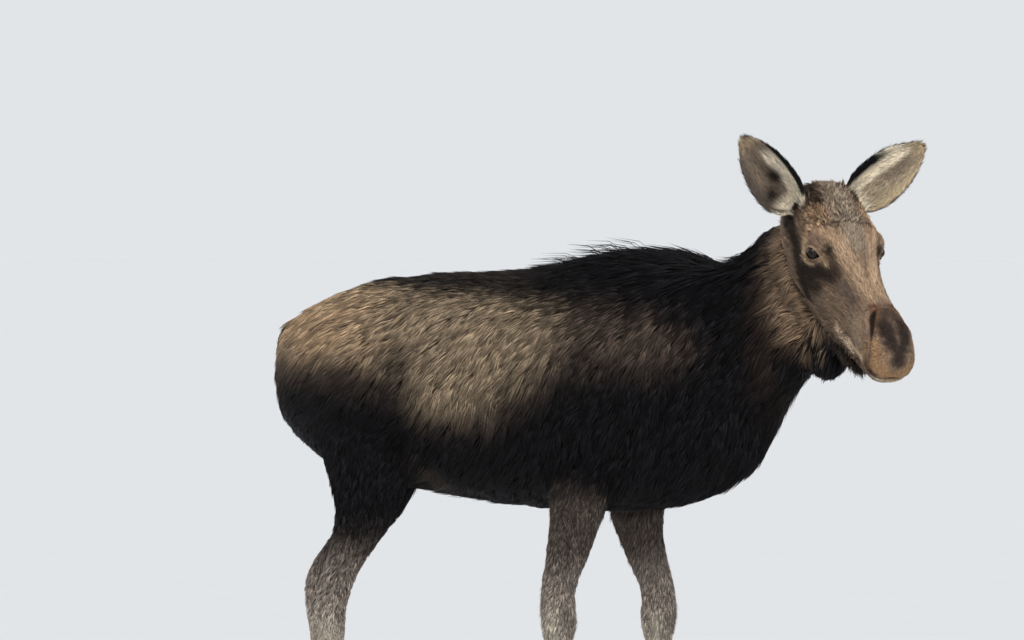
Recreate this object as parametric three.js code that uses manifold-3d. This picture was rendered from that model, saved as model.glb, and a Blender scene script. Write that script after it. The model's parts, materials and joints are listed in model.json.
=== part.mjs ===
// A cow moose in winter coat, standing still with her head turned to her right: a life-size display model.
// Millimetres, +Z up. +X is the way the body faces, +Y is the animal's left, and the floor is z = 0.
// Every outline is taken at the tips of the hair.
import * as THREE from 'three';
import { mergeVertices } from 'three/addons/utils/BufferGeometryUtils.js';
import Module from 'manifold-3d';

const wasm = await Module();
wasm.setup();

// ---- Driving dimensions ----
const WITHERS_HEIGHT = 1762;   // floor to the top of the shoulder hump
const BODY_LENGTH = 1650;      // point of rump to breast
const BARREL_WIDTH = 620;      // widest girth, at the paunch
const RUMP_X = -958;           // rearmost point of the body
const HEAD_LENGTH = 690;       // poll to tip of nose
const HEAD_WIDTH = 244;        // across the skull behind the eyes
const HEAD_TURN = 44;          // degrees from straight ahead, to the right
const HEAD_DROP = 48;          // degrees of the face line below level
const POLL = [966, -210, 1957];
const EYE_RADIUS = 23;
const EAR_LENGTH = 304;
const EAR_WIDTH = 158;
const ELBOW_HEIGHT = 1040;
const KNEE_HEIGHT = 585;
const STIFLE_HEIGHT = 1010;
const HOCK_HEIGHT = 655;
const FETLOCK_HEIGHT = 178;
const HOOF_HEIGHT = 84;
const HOOF_LENGTH = 146;
const GAP = 0.5;               // between pieces that touch
const ORIGIN_SHIFT = [-164, 110];   // moves the middle of the model's plan over the origin

const radians = THREE.MathUtils.degToRad;
const vec = (p) => new THREE.Vector3(...p);

// ---- Shaping tools ----

// Catmull-Rom through the rows of a table. t is 0 at the first row and rows.length - 1 at the last.
function between(rows, t) {
  const i = Math.min(Math.floor(t), rows.length - 2);
  const f = t - i;
  const [a, b, c, d] = [i - 1, i, i + 1, i + 2].map((k) => rows[THREE.MathUtils.clamp(k, 0, rows.length - 1)]);
  return b.map((_, n) => {
    const rise = (c[n] - a[n]) / 2;
    const next = (d[n] - b[n]) / 2;
    const step = c[n] - b[n];
    return b[n] + rise * f + (3 * step - 2 * rise - next) * f * f + (rise + next - 2 * step) * f ** 3;
  });
}

const power = (x, n) => Math.sign(x) * Math.abs(x) ** (2 / n);

// Pushes a point by each swelling near it. A swelling has a centre, a reach along each axis and a push.
function swollen(p, swells) {
  const moved = p.clone();
  for (const { at, reach, push } of swells) {
    const d = at.map((c, n) => (p.getComponent(n) - c) / reach[n]);
    moved.addScaledVector(vec(push), Math.exp(-(d[0] ** 2 + d[1] ** 2 + d[2] ** 2)));
  }
  return moved;
}

// One closed body through cross-sections. Each section is { at, up, down, half, roof, keel, turn, rise }.
// The body is travelled in the direction given by `turn` (to the left) and `rise`, in degrees. `up`, `down`
// and `half` are how far the flesh reaches above, below and to each side of the line of travel, and `roof`
// and `keel` how square it is there: 2 is round, less is pointed.
const ALL_UP = [0, 0, 1];
function loft(sections, { from = 0, to = sections.length - 1, steps, sides, swells = [], grow = 0 }) {
  const rows = sections.map(({ at, up, down, half, roof = 2, keel = 2, turn = 0, rise = 0 }) =>
    [...at, up, down, half, roof, keel, radians(turn), radians(rise)]);
  const points = [];
  for (let i = 0; i <= steps; i++) {
    const [x, y, z, up, down, half, roof, keel, turn, rise] = between(rows, from + ((to - from) * i) / steps);
    const side = new THREE.Vector3(-Math.sin(turn), Math.cos(turn), 0);
    const along = new THREE.Vector3(Math.cos(turn), Math.sin(turn), 0).multiplyScalar(Math.cos(rise))
      .addScaledVector(vec(ALL_UP), Math.sin(rise));
    const high = along.clone().cross(side);
    for (let k = 0; k < sides; k++) {
      const a = (2 * Math.PI * k) / sides;
      const above = Math.sin(a) > 0;
      points.push(new THREE.Vector3(x, y, z)
        .addScaledVector(side, (half + grow) * power(Math.cos(a), above ? roof : keel))
        .addScaledVector(high, ((above ? up : down) + grow) * power(Math.sin(a), above ? roof : keel)));
    }
  }
  const faces = [];
  for (let i = 0; i < steps; i++) {
    for (let k = 0; k < sides; k++) {
      const [a, b] = [i * sides + k, i * sides + ((k + 1) % sides)];
      faces.push(a, b, b + sides, a, b + sides, a + sides);
    }
  }
  const ends = [0, steps * sides].map((first) => {
    const ring = points.slice(first, first + sides);
    return ring.reduce((sum, p) => sum.add(p), new THREE.Vector3()).divideScalar(sides);
  });
  const hub = points.length;
  points.push(...ends);
  for (let k = 0; k < sides; k++) {
    const next = (k + 1) % sides;
    faces.push(hub, next, k, hub + 1, steps * sides + k, steps * sides + next);
  }
  const geometry = new THREE.BufferGeometry().setFromPoints(points.map((p) => swollen(p, swells)));
  geometry.setIndex(faces);
  return geometry;
}

// three.js geometry to solid and back.
function solid(geometry, matrix = new THREE.Matrix4()) {
  const bare = geometry.clone().applyMatrix4(matrix);
  bare.deleteAttribute('normal');
  bare.deleteAttribute('uv');
  const merged = mergeVertices(bare, 1e-3);
  return new wasm.Manifold(new wasm.Mesh({
    numProp: 3,
    vertProperties: merged.attributes.position.array,
    triVerts: new Uint32Array(merged.index.array),
  }));
}

// The largest body of a solid, so that a cut leaves no crumbs.
function geometryOf(made) {
  const whole = made.decompose().sort((a, b) => b.volume() - a.volume())[0];
  const { numProp, vertProperties, triVerts } = whole.getMesh();
  const position = new Float32Array((vertProperties.length / numProp) * 3);
  for (let i = 0; i < position.length / 3; i++) {
    position.set(vertProperties.subarray(i * numProp, i * numProp + 3), i * 3);
  }
  const geometry = new THREE.BufferGeometry();
  geometry.setAttribute('position', new THREE.BufferAttribute(position, 3));
  geometry.setIndex(new THREE.BufferAttribute(triVerts, 1));
  geometry.computeVertexNormals();
  return geometry;
}

const less = (body, ...cutters) => cutters.reduce((rest, cutter) => rest.subtract(cutter), body);
const mirrored = (swell) => [swell, { ...swell, at: [swell.at[0], -swell.at[1], swell.at[2]],
  push: [swell.push[0], -swell.push[1], swell.push[2]] }];

// ---- Materials ----
const coat = (color) => new THREE.MeshStandardMaterial({ color, roughness: 0.95, metalness: 0 });
const FLANK = coat('#75685c');
const BLACK_BROWN = coat('#2c2725');
const FACE = coat('#7f6c59');
const CHEEK = coat('#4a3d34');
const SHANK = coat('#a3968a');
const EAR = coat('#8f8472');
const HORN = new THREE.MeshStandardMaterial({ color: '#23201d', roughness: 0.5, metalness: 0 });
const EYE = new THREE.MeshStandardMaterial({ color: '#140d09', roughness: 0.08, metalness: 0 });

const model = new THREE.Group();
const head = new THREE.Group();

function add(name, geometry, material, group = model) {
  const mesh = new THREE.Mesh(geometry, material);
  mesh.name = name;
  group.add(mesh);
  return mesh;
}

// ---- Trunk and neck: one line of sections from rump to throat ----
const SPINE = WITHERS_HEIGHT * 0.757;   // height of the trunk's line of centres
const section = (share, top, bottom, half, roof, keel) => ({
  at: [RUMP_X + share * BODY_LENGTH, 0, SPINE],
  up: top - SPINE,
  down: SPINE - bottom,
  half: (half * BARREL_WIDTH) / 620,
  roof,
  keel,
});
const TRUNK = [
  section(0, 1450, 1290, 30, 2, 2),
  section(0.012, 1502, 1215, 96, 2, 2),
  section(0.045, 1552, 1140, 164, 2, 2),
  section(0.1, 1606, 1075, 218, 1.9, 2.1),
  section(0.17, 1654, 1030, 252, 1.85, 2.1),
  section(0.26, 1688, 995, 276, 1.8, 2.1),
  section(0.36, 1700, 962, 298, 1.8, 2.1),
  section(0.47, 1698, 938, 310, 1.8, 2.05),
  section(0.56, 1706, 922, 302, 1.75, 2),
  section(0.62, 1738, 918, 292, 1.7, 2),
  section(0.68, 1754, 915, 279, 1.62, 2),
  section(0.75, WITHERS_HEIGHT, 918, 262, 1.6, 1.95),
  section(0.82, 1758, 935, 250, 1.65, 1.9),
];
const throat = (x, y, z, up, down, half, turn, rise) =>
  ({ at: [x, y, z], up, down, half, roof: 1.75, keel: 1.95, turn, rise });
const NECK = [
  throat(489, 0, 1360, 392, 396, 226, 0, 6),
  throat(594, -3, 1383, 346, 346, 200, -6, 8),
  throat(658, -8, 1444, 296, 296, 182, -12, 9),
  throat(711, -16, 1530, 268, 262, 166, -20, 11),
  throat(783, -45, 1599, 262, 250, 152, -30, 18),
  throat(868, -98, 1680, 215, 262, 142, -40, 27),
  throat(912, -142, 1770, 130, 150, 96, -46, 38),
];
const torso = [...TRUNK, ...NECK];
const neckBase = TRUNK.length - 1;
const SHOULDERS = mirrored({ at: [330, 262, 1330], reach: [190, 220, 260], push: [0, 26, 0] });
const ARMS = mirrored({ at: [250, 240, 1100], reach: [170, 200, 150], push: [0, 20, 0] });
const HAUNCHES = mirrored({ at: [-690, 255, 1330], reach: [190, 220, 240], push: [0, 34, 0] });
const torsoSwells = [...SHOULDERS, ...ARMS, ...HAUNCHES];
const trunkShape = (grow) => loft(torso, { swells: torsoSwells, to: neckBase, steps: 25, sides: 22, grow });
const neckFrom = neckBase + GAP / (torso[neckBase + 1].at[0] - torso[neckBase].at[0]);
const neckShape = (grow) => loft(torso, { swells: torsoSwells, from: neckFrom, steps: 14, sides: 22, grow });

// ---- Head: x runs from the poll down the face, y is left, z is out of the forehead ----
head.position.set(...POLL);
head.rotation.set(0, radians(HEAD_DROP), -radians(HEAD_TURN), 'ZYX');
head.updateMatrix();
const LONG = HEAD_LENGTH / 700;
const WIDE = HEAD_WIDTH / 236;
const slice = (x, top, bottom, half, roof = 2.2, keel = 2.2) => {
  const middle = (top + bottom) / 2;
  const reach = (top - middle) * LONG;
  return { at: [x * LONG, 0, middle * LONG], up: reach, down: reach, half: half * WIDE, roof, keel };
};
const SKULL = [
  slice(-64, -76, -176, 44),
  slice(-48, -32, -214, 86),
  slice(-12, -6, -248, 106),
  slice(50, 6, -276, 117),
  slice(120, 12, -298, 118),
  slice(190, 8, -306, 117),
  slice(260, -2, -288, 109),
  slice(330, -14, -248, 95),
  slice(400, -18, -212, 82),
  slice(470, -12, -192, 77),
  slice(540, -2, -188, 79),
  slice(600, -4, -184, 81),
  slice(650, -20, -180, 78),
  slice(682, -44, -170, 66),
  slice(699, -80, -146, 36),
];
const EYE_AT = [208, 114, -76];
const headSwells = [
  ...mirrored({ at: [182, 112, -46], reach: [56, 70, 42], push: [0, 36, 6] }),    // brow
  ...mirrored({ at: [230, 112, -108], reach: [44, 60, 26], push: [0, 8, 0] }),    // cheekbone
  ...mirrored({ at: [160, 104, -200], reach: [90, 70, 80], push: [0, 8, 0] }),    // jaw muscle
  ...mirrored({ at: [584, 82, -76], reach: [44, 50, 44], push: [0, 8, 0] }),      // nostril wing
];
const LIP = 9.3;               // where the muzzle starts, counted along the table
const LIP_ROW = 70;            // one row of the table, along the head
const headShape = (grow) =>
  loft(SKULL, { to: LIP + grow / LIP_ROW, steps: 17, sides: 22, swells: headSwells, grow });
const muzzleShape = (grow) =>
  loft(SKULL, { from: LIP + (GAP - grow) / LIP_ROW, steps: 8, sides: 22, swells: headSwells, grow });
const JAW = [
  slice(150, -180, -284, 34),
  slice(180, -180, -314, 66),
  slice(240, -160, -326, 72),
  slice(320, -150, -312, 64),
  slice(400, -150, -282, 54),
  slice(480, -150, -250, 46),
  slice(560, -150, -226, 44),
  slice(600, -160, -218, 45),
  slice(632, -172, -208, 34),
  slice(644, -184, -198, 14),
];
const jawShape = (grow) => loft(JAW, { steps: 12, sides: 13, grow });
const eyeball = (side, grow) => new THREE.SphereGeometry(EYE_RADIUS + grow, 12, 8)
  .translate(EYE_AT[0], side * EYE_AT[1], EYE_AT[2]);

// ---- Ears: cupped blades ----
// `axis` runs from root to tip and `open` is the way the cup faces.
function earShape(root, axis, open, length = EAR_LENGTH) {
  const steps = 9;
  const across = 6;
  const along = vec(axis).normalize();
  const facing = vec(open).addScaledVector(along, -vec(open).dot(along)).normalize();
  const sideways = along.clone().cross(facing);
  const WIDTHS = [[0.42], [0.74], [0.93], [1], [1], [0.94], [0.8], [0.56], [0.2]];
  const CURLS = [[150], [128], [104], [86], [74], [64], [54], [44], [36]];
  const THICK = [[26], [20], [16], [14], [12], [11], [10], [9], [7]];
  const layer = (u, v, inner) => {
    const t = u * (WIDTHS.length - 1);
    const curl = radians(between(CURLS, t)[0]);
    const half = (between(WIDTHS, t)[0] * EAR_WIDTH) / 2;
    const reach = Math.sin(Math.min(curl, Math.PI / 2));
    const radius = half / reach;
    const thick = inner ? Math.min(between(THICK, t)[0], radius * 0.6) * (1 - 0.55 * Math.abs(v) ** 3) : 0;
    const a = v * curl;
    return vec(root)
      .addScaledVector(along, u * length)
      .addScaledVector(sideways, (radius - thick) * Math.sin(a))
      .addScaledVector(facing, radius - (radius - thick) * Math.cos(a));
  };
  const points = [];
  const loop = [];
  for (let k = 0; k <= across; k++) loop.push([-1 + (2 * k) / across, false]);
  for (let k = across; k >= 0; k--) loop.push([-1 + (2 * k) / across, true]);
  for (let i = 0; i <= steps; i++) loop.forEach(([v, inner]) => points.push(layer(i / steps, v, inner)));
  const n = loop.length;
  const faces = [];
  for (let i = 0; i < steps; i++) {
    for (let k = 0; k < n; k++) {
      const [a, b] = [i * n + k, i * n + ((k + 1) % n)];
      faces.push(a, b + n, b, a, a + n, b + n);
    }
  }
  for (let k = 0; k < across; k++) {
    const [a, b, c, d] = [k, k + 1, n - 2 - k, n - 1 - k];
    const e = steps * n;
    faces.push(a, b, c, a, c, d, e + a, e + c, e + b, e + a, e + d, e + c);
  }
  const geometry = new THREE.BufferGeometry().setFromPoints(points);
  geometry.setIndex(faces);
  return geometry;
}

// ---- Legs: level sections down the limb ----
const joint = (x, y, z, front, back, half, square = 2) =>
  ({ at: [x, y, z], up: front, down: back, half, roof: square, keel: square, rise: -90 });

function foreleg(side, elbowX, kneeX, hoofX) {
  const y = side * 150;
  return [
    joint(elbowX + 90, side * 120, 1240, 120, 130, 90),
    joint(elbowX + 60, side * 140, 1130, 124, 134, 88),
    joint(elbowX + 20, y, ELBOW_HEIGHT - 30, 96, 108, 76),
    joint(elbowX, y, ELBOW_HEIGHT - 130, 74, 82, 64),
    joint((elbowX + kneeX) / 2 - 4, y, (ELBOW_HEIGHT + KNEE_HEIGHT) / 2 - 40, 56, 60, 52),
    joint(kneeX - 2, y, KNEE_HEIGHT + 90, 46, 48, 44),
    joint(kneeX, y, KNEE_HEIGHT, 52, 48, 48, 2.3),
    joint(kneeX, y, KNEE_HEIGHT - 80, 38, 40, 38),
    joint((kneeX + hoofX) / 2 - 10, y, (KNEE_HEIGHT + FETLOCK_HEIGHT) / 2, 31, 36, 33),
    joint(hoofX - 40, y, FETLOCK_HEIGHT + 50, 32, 38, 35),
    joint(hoofX - 40, y, FETLOCK_HEIGHT, 38, 46, 42, 2.2),
    joint(hoofX - 10, y, FETLOCK_HEIGHT - 56, 34, 38, 40, 2.2),
    joint(hoofX + 10, y, HOOF_HEIGHT - 12, 42, 48, 48, 2.3),
  ];
}

function hindleg(side, stifleX, hockX, hoofX) {
  const y = side * 165;
  return [
    joint(stifleX - 60, side * 150, 1400, 120, 150, 90),
    joint(stifleX - 80, side * 160, 1270, 170, 190, 106),
    joint(stifleX - 70, side * 160, 1130, 170, 180, 104),
    joint(stifleX - 70, y, STIFLE_HEIGHT - 20, 132, 134, 92),
    joint((stifleX * 2 + hockX) / 3 - 30, y, (STIFLE_HEIGHT + HOCK_HEIGHT) / 2 + 40, 96, 92, 70),
    joint(hockX + 42, y, HOCK_HEIGHT + 95, 66, 66, 50),
    joint(hockX + 6, y, HOCK_HEIGHT + 10, 58, 64, 46, 2.3),
    joint(hockX, y, HOCK_HEIGHT - 80, 44, 52, 41),
    joint((hockX + hoofX) / 2 - 8, y, (HOCK_HEIGHT + FETLOCK_HEIGHT) / 2, 35, 40, 35),
    joint(hoofX - 42, y, FETLOCK_HEIGHT + 54, 34, 40, 35),
    joint(hoofX - 42, y, FETLOCK_HEIGHT, 38, 48, 42, 2.2),
    joint(hoofX - 10, y, FETLOCK_HEIGHT - 56, 34, 38, 40, 2.2),
    joint(hoofX + 10, y, HOOF_HEIGHT - 12, 42, 48, 47, 2.3),
  ];
}

// A claw of the cloven hoof: a wedge that the floor cuts to a flat sole.
const claw = (x, height, half, square = 2.4) =>
  ({ at: [x, 0, 0], up: height, down: 6, half, roof: square, keel: square });
function clawShape(x, y, toe) {
  const sections = [
    claw(-62, 40, 18),
    claw(-48, HOOF_HEIGHT - 16, 26),
    claw(-16, HOOF_HEIGHT, 31),
    claw(18, HOOF_HEIGHT - 8, 31),
    claw(52, HOOF_HEIGHT - 40, 26),
    claw(HOOF_LENGTH - 72, HOOF_HEIGHT - 64, 15),
    claw(HOOF_LENGTH - 62, 8, 5),
  ];
  return loft(sections, { steps: 6, sides: 9 }).rotateZ(radians(toe)).translate(x, y, 0);
}

// A dewclaw: a small blunt cone behind the pastern.
function dewclawShape(x, y) {
  const nail = (z, dx, half) =>
    ({ at: [x + dx, y, z], up: half, down: half, half, rise: -90 });
  return loft([nail(142, 6, 5), nail(136, 3, 12), nail(118, -2, 14), nail(102, -6, 11), nail(96, -8, 4)],
    { steps: 4, sides: 5 });
}

const LEGS = {
  foreleg_right: { sections: foreleg(-1, 108, 44, 62), cuts: [6.9, 10.4], hoof: 62, y: -150 },
  foreleg_left: { sections: foreleg(1, 214, 284, 330), cuts: [6.9, 10.4], hoof: 330, y: 150 },
  hindleg_right: { sections: hindleg(-1, -520, -716, -690), cuts: [3.7, 7, 10.4], hoof: -690, y: -165 },
  hindleg_left: { sections: hindleg(1, -590, -872, -838), cuts: [3.7, 7, 10.4], hoof: -838, y: 165 },
};
const LEG_PARTS = {
  foreleg: ['forearm', 'cannon', 'pastern'],
  hindleg: ['thigh', 'gaskin', 'cannon', 'pastern'],
};

function addLeg(name, { sections, cuts, hoof, y }, trunk) {
  const bounds = [0, ...cuts, sections.length - 1];
  const lowest = [];
  LEG_PARTS[name.split('_')[0]].forEach((part, i) => {
    const gap = i ? GAP / 60 : 0;
    const span = bounds[i + 1] - bounds[i];
    const options = { from: bounds[i] + gap, to: bounds[i + 1], steps: Math.ceil(span * 2), sides: 12 };
    const made = solid(loft(sections, options));
    const material = part === 'thigh' || part === 'forearm' ? BLACK_BROWN : SHANK;
    add(`${name}_${part}`, geometryOf(i ? made : made.subtract(trunk)), material);
    lowest.push(solid(loft(sections, { ...options, grow: GAP })));
  });
  const floor = [0, 0, 1];
  for (const [label, inward, toe] of [['inner', -1, -3], ['outer', 1, 3]]) {
    const side = Math.sign(y);
    const nail = solid(dewclawShape(hoof - 60, y + side * inward * 22));
    add(`${name}_dewclaw_${label}`, geometryOf(less(nail, lowest.at(-1))), HORN);
    const made = solid(clawShape(hoof, y + side * inward * 34, side * toe)).trimByPlane(floor, 0);
    add(`${name}_hoof_${label}`, geometryOf(less(made, lowest.at(-1))), HORN);
  }
}

// ---- Tail and bell ----
const dock = (x, z, reach, half) => ({ at: [x, 0, z], up: reach, down: reach, half, rise: -90 });
const TAIL = [
  dock(-902, 1530, 12, 18),
  dock(-922, 1506, 26, 34),
  dock(-938, 1460, 28, 38),
  dock(-944, 1412, 24, 32),
  dock(-946, 1374, 16, 20),
  dock(-946, 1362, 5, 6),
];
const lappet = (x, y, z, reach, half) =>
  ({ at: [x, y, z], up: reach, down: reach, half, turn: -HEAD_TURN, rise: -90 });
const BELL = [
  lappet(905, -128, 1600, 60, 54),
  lappet(922, -140, 1530, 92, 60),
  lappet(934, -152, 1460, 92, 50),
  lappet(938, -156, 1402, 82, 38),
  lappet(938, -158, 1370, 58, 24),
  lappet(938, -158, 1360, 18, 8),
];

// ---- Assembly ----
const atHead = head.matrix;
const skullGrown = solid(headShape(GAP)).add(solid(muzzleShape(GAP)));
const jawGrown = solid(jawShape(GAP));
const jawHollow = jawGrown.transform(atHead.elements);
const skullHollow = skullGrown.transform(atHead.elements);
const sockets = [solid(eyeball(1, GAP)), solid(eyeball(-1, GAP))];
const ear = (root, axis, open, length) => {
  const intoHead = (v) => vec(v).transformDirection(atHead.clone().invert()).toArray();
  return geometryOf(less(solid(earShape(root, intoHead(axis), intoHead(open), length)), skullGrown));
};

add('trunk', geometryOf(solid(trunkShape(0))), FLANK);
add('neck', geometryOf(less(solid(neckShape(0)), skullHollow, jawHollow)), BLACK_BROWN);
add('tail', geometryOf(less(solid(loft(TAIL, { steps: 5, sides: 9 })), solid(trunkShape(GAP)))), FLANK);
add('bell', geometryOf(less(solid(loft(BELL, { steps: 7, sides: 11 })), solid(neckShape(GAP)),
  skullHollow, jawHollow)), BLACK_BROWN);

model.add(head);
add('head', geometryOf(less(solid(headShape(0)), ...sockets)), FACE, head);
add('muzzle', geometryOf(solid(muzzleShape(0))), FACE, head);
add('jaw', geometryOf(less(solid(jawShape(0)), skullGrown)), CHEEK, head);
add('eye_left', eyeball(1, 0), EYE, head);
add('eye_right', eyeball(-1, 0), EYE, head);
add('ear_left', ear([-10, 102, -94], [0.76, 0.13, 0.61], [0.404, -0.92, 0.05], EAR_LENGTH), EAR, head);
add('ear_right', ear([-10, -86, -92], [-0.47, -0.5, 0.74], [0.2, -0.9, -0.3], EAR_LENGTH * 0.95), EAR, head);

for (const [name, leg] of Object.entries(LEGS)) addLeg(name, leg, solid(trunkShape(GAP)));

model.position.set(...ORIGIN_SHIFT, 0);
export default model;
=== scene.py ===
"""A cow moose in winter coat, standing with her head turned to her right: the looks of a life-size display model.

Metres, +Z up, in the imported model's own frame. The body faces +X and its right side faces -Y.
"""

import json
import math

import bmesh
import bpy
import numpy as np
from mathutils import Matrix, Vector, noise
from mathutils.bvhtree import BVHTree
from mathutils.kdtree import KDTree

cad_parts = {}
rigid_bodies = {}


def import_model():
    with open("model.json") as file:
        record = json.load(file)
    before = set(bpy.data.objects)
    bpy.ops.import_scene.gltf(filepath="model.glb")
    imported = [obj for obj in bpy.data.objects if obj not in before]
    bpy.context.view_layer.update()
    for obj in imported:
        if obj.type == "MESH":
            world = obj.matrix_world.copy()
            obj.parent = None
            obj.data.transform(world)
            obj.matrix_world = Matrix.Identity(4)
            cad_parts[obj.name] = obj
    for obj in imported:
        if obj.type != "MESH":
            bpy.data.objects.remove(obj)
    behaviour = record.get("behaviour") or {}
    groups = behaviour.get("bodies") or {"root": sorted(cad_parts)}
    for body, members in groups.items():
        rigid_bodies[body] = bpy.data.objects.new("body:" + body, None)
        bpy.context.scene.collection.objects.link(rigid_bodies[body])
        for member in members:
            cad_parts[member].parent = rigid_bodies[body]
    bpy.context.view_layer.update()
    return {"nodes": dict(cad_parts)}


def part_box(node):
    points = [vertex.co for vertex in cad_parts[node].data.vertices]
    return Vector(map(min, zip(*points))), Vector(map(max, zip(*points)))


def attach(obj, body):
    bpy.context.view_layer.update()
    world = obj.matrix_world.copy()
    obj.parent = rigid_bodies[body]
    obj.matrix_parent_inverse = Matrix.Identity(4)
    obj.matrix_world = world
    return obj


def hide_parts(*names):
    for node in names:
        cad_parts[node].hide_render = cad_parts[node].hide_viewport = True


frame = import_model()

MM = 0.001

# ---- The flesh ----
# Body, neck, head, ears, legs and tail are one hide over flesh, so they are one closed skin with no seams. The
# solids reach out to the tips of the hair, and the skin lies inside them by the depth of the coat.

VOXEL = 5.2 * MM         # grid on which the solids are fused
SWELL = 2.2 * MM         # laps the solids over the thin gaps between them before they are fused
COAT_DEPTH = {           # from the hair tips down to the skin, by part, in millimetres
    "trunk": 21, "neck": 26, "bell": 14, "tail": 13, "head": 6, "muzzle": 3, "jaw": 8, "ear": 0.4,
    "forearm": 11, "thigh": 16, "gaskin": 10, "cannon": 6, "pastern": 5,
}

PARTS = [name for name in sorted(frame["nodes"])          # the nodes of flesh
         if not any(word in name for word in ("hoof", "dewclaw", "eye"))]


def points_of(mesh):
    flat = np.empty(len(mesh.vertices) * 3)
    mesh.vertices.foreach_get("co", flat)
    return flat.reshape(-1, 3)


def triangles_of(mesh):
    mesh.calc_loop_triangles()
    flat = np.empty(len(mesh.loop_triangles) * 3, np.int32)
    mesh.loop_triangles.foreach_get("vertices", flat)
    return flat.reshape(-1, 3)


def unit(v):
    return v / np.maximum(np.linalg.norm(v, axis=-1, keepdims=True), 1e-12)


def corner_normals(points, triangles):
    """Vertex normals, each face counted by its area."""
    a, b, c = (points[triangles[:, k]] for k in range(3))
    face = np.cross(b - a, c - a)
    return unit(np.stack([sum(np.bincount(triangles[:, k], face[:, axis], len(points)) for k in range(3))
                          for axis in range(3)], axis=1))


def new_mesh(name, points, triangles):
    mesh = bpy.data.meshes.new(name)
    mesh.vertices.add(len(points))
    mesh.vertices.foreach_set("co", np.ascontiguousarray(points, np.float32).ravel())
    mesh.loops.add(len(triangles) * 3)
    mesh.loops.foreach_set("vertex_index", np.ascontiguousarray(triangles, np.int32).ravel())
    mesh.polygons.add(len(triangles))
    mesh.polygons.foreach_set("loop_start", np.arange(0, len(triangles) * 3, 3, dtype=np.int32))
    mesh.polygons.foreach_set("use_smooth", np.ones(len(triangles), bool))
    mesh.update(calc_edges=True)
    return mesh


def new_object(name, mesh):
    made = bpy.data.objects.new(name, mesh)
    bpy.context.scene.collection.objects.link(made)
    return made


def welded(name):
    """A node's corners and triangles with the split corners joined."""
    mesh = frame["nodes"][name].data
    points, triangles = points_of(mesh), triangles_of(mesh)
    _, first, same = np.unique(np.round(points / (0.02 * MM)).astype(np.int64), axis=0,
                               return_index=True, return_inverse=True)
    triangles = same.ravel()[triangles]
    flat = (triangles[:, 0] == triangles[:, 1]) | (triangles[:, 1] == triangles[:, 2]) | \
           (triangles[:, 2] == triangles[:, 0])
    return points[first], triangles[~flat]


def applied(thing, kind, **settings):
    """Applies one modifier to a mesh object."""
    modifier = thing.modifiers.new(kind.lower(), kind)
    for key, value in settings.items():
        setattr(modifier, key, value)
    made = bpy.data.meshes.new_from_object(thing.evaluated_get(bpy.context.evaluated_depsgraph_get()))
    thing.modifiers.clear()
    old, thing.data = thing.data, made
    bpy.data.meshes.remove(old)
    return thing


fused_points, fused_triangles, part_of_triangle, start = [], [], [], 0
for name in PARTS + ["eye_left", "eye_right"]:       # the eyeballs fill their sockets until the lids are made
    number = PARTS.index(name if name in PARTS else "head")
    points, triangles = welded(name)
    points = points + SWELL * corner_normals(points, triangles)
    fused_points.append(points)
    fused_triangles.append(triangles + start)
    part_of_triangle += [number] * len(triangles)
    start += len(points)
fused_points, fused_triangles = np.concatenate(fused_points), np.concatenate(fused_triangles)
outline = BVHTree.FromPolygons(fused_points.tolist(), fused_triangles.tolist())
skin = new_object("skin", new_mesh("skin", fused_points, fused_triangles))
applied(skin, "REMESH", mode="VOXEL", voxel_size=VOXEL)


def nearest_part(points):
    return np.array([part_of_triangle[outline.find_nearest(p)[2]] for p in points.tolist()])


def is_part(part, *words):
    """1 where a corner's part has one of the words in its name."""
    wanted = np.array([any(word in name for word in words) for name in PARTS])
    return wanted[part].astype(float)


def edges_of(triangles):
    pairs = np.sort(np.concatenate([triangles[:, [0, 1]], triangles[:, [1, 2]], triangles[:, [2, 0]]]), axis=1)
    return np.unique(pairs, axis=0)


def neighbour_mean(values, edges):
    """The mean of each corner's neighbours."""
    a, b = edges[:, 0], edges[:, 1]
    count = np.maximum(np.bincount(a, minlength=len(values)) + np.bincount(b, minlength=len(values)), 1)
    if values.ndim == 1:
        return (np.bincount(a, values[b], len(values)) + np.bincount(b, values[a], len(values))) / count
    return np.stack([(np.bincount(a, values[b, k], len(values)) + np.bincount(b, values[a, k], len(values)))
                     / count for k in range(values.shape[1])], axis=1)


def spread(values, edges, rounds, share=0.5):
    """Evens values out over the surface."""
    for _ in range(rounds):
        values = values + share * (neighbour_mean(values, edges) - values)
    return values


points, triangles = points_of(skin.data), triangles_of(skin.data)
edges = edges_of(triangles)
part = nearest_part(points)
points = spread(points, edges, 3)
depth = np.select([is_part(part, word) > 0 for word in COAT_DEPTH], list(COAT_DEPTH.values())).astype(float)
# The mane of the hump is deeper still, within 10 cm of the line of the back.
on_mane = np.clip((points[:, 2] - 1.60) / 0.10, 0, 1) * is_part(part, "trunk", "neck")
on_mane *= np.clip(1.6 - np.abs(points[:, 1] + 0.02 - 0.110) / 0.06, 0, 1)
depth = spread(depth + 8 * on_mane, edges, 10) * MM
for _ in range(3):
    points = points - ((depth + SWELL) / 3)[:, None] * corner_normals(points, triangles)
    points = spread(points, edges, 1, 0.3)
skin.data.vertices.foreach_set("co", points.astype(np.float32).ravel())


def thin_out(part, words, edge_length, area):
    """Collapses the triangles of some parts, which cover an area, until they are about edge_length across."""
    chosen = is_part(part, *words)
    skin.vertex_groups.new(name="loose").add(np.flatnonzero(chosen).tolist(), 1.0, "REPLACE")
    triangles = triangles_of(skin.data)
    new = area * 4 / math.sqrt(3) / edge_length ** 2
    applied(skin, "DECIMATE", ratio=1 - (chosen[triangles].min(1).sum() - new) / len(triangles),
            vertex_group="loose")
    skin.vertex_groups.clear()


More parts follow.
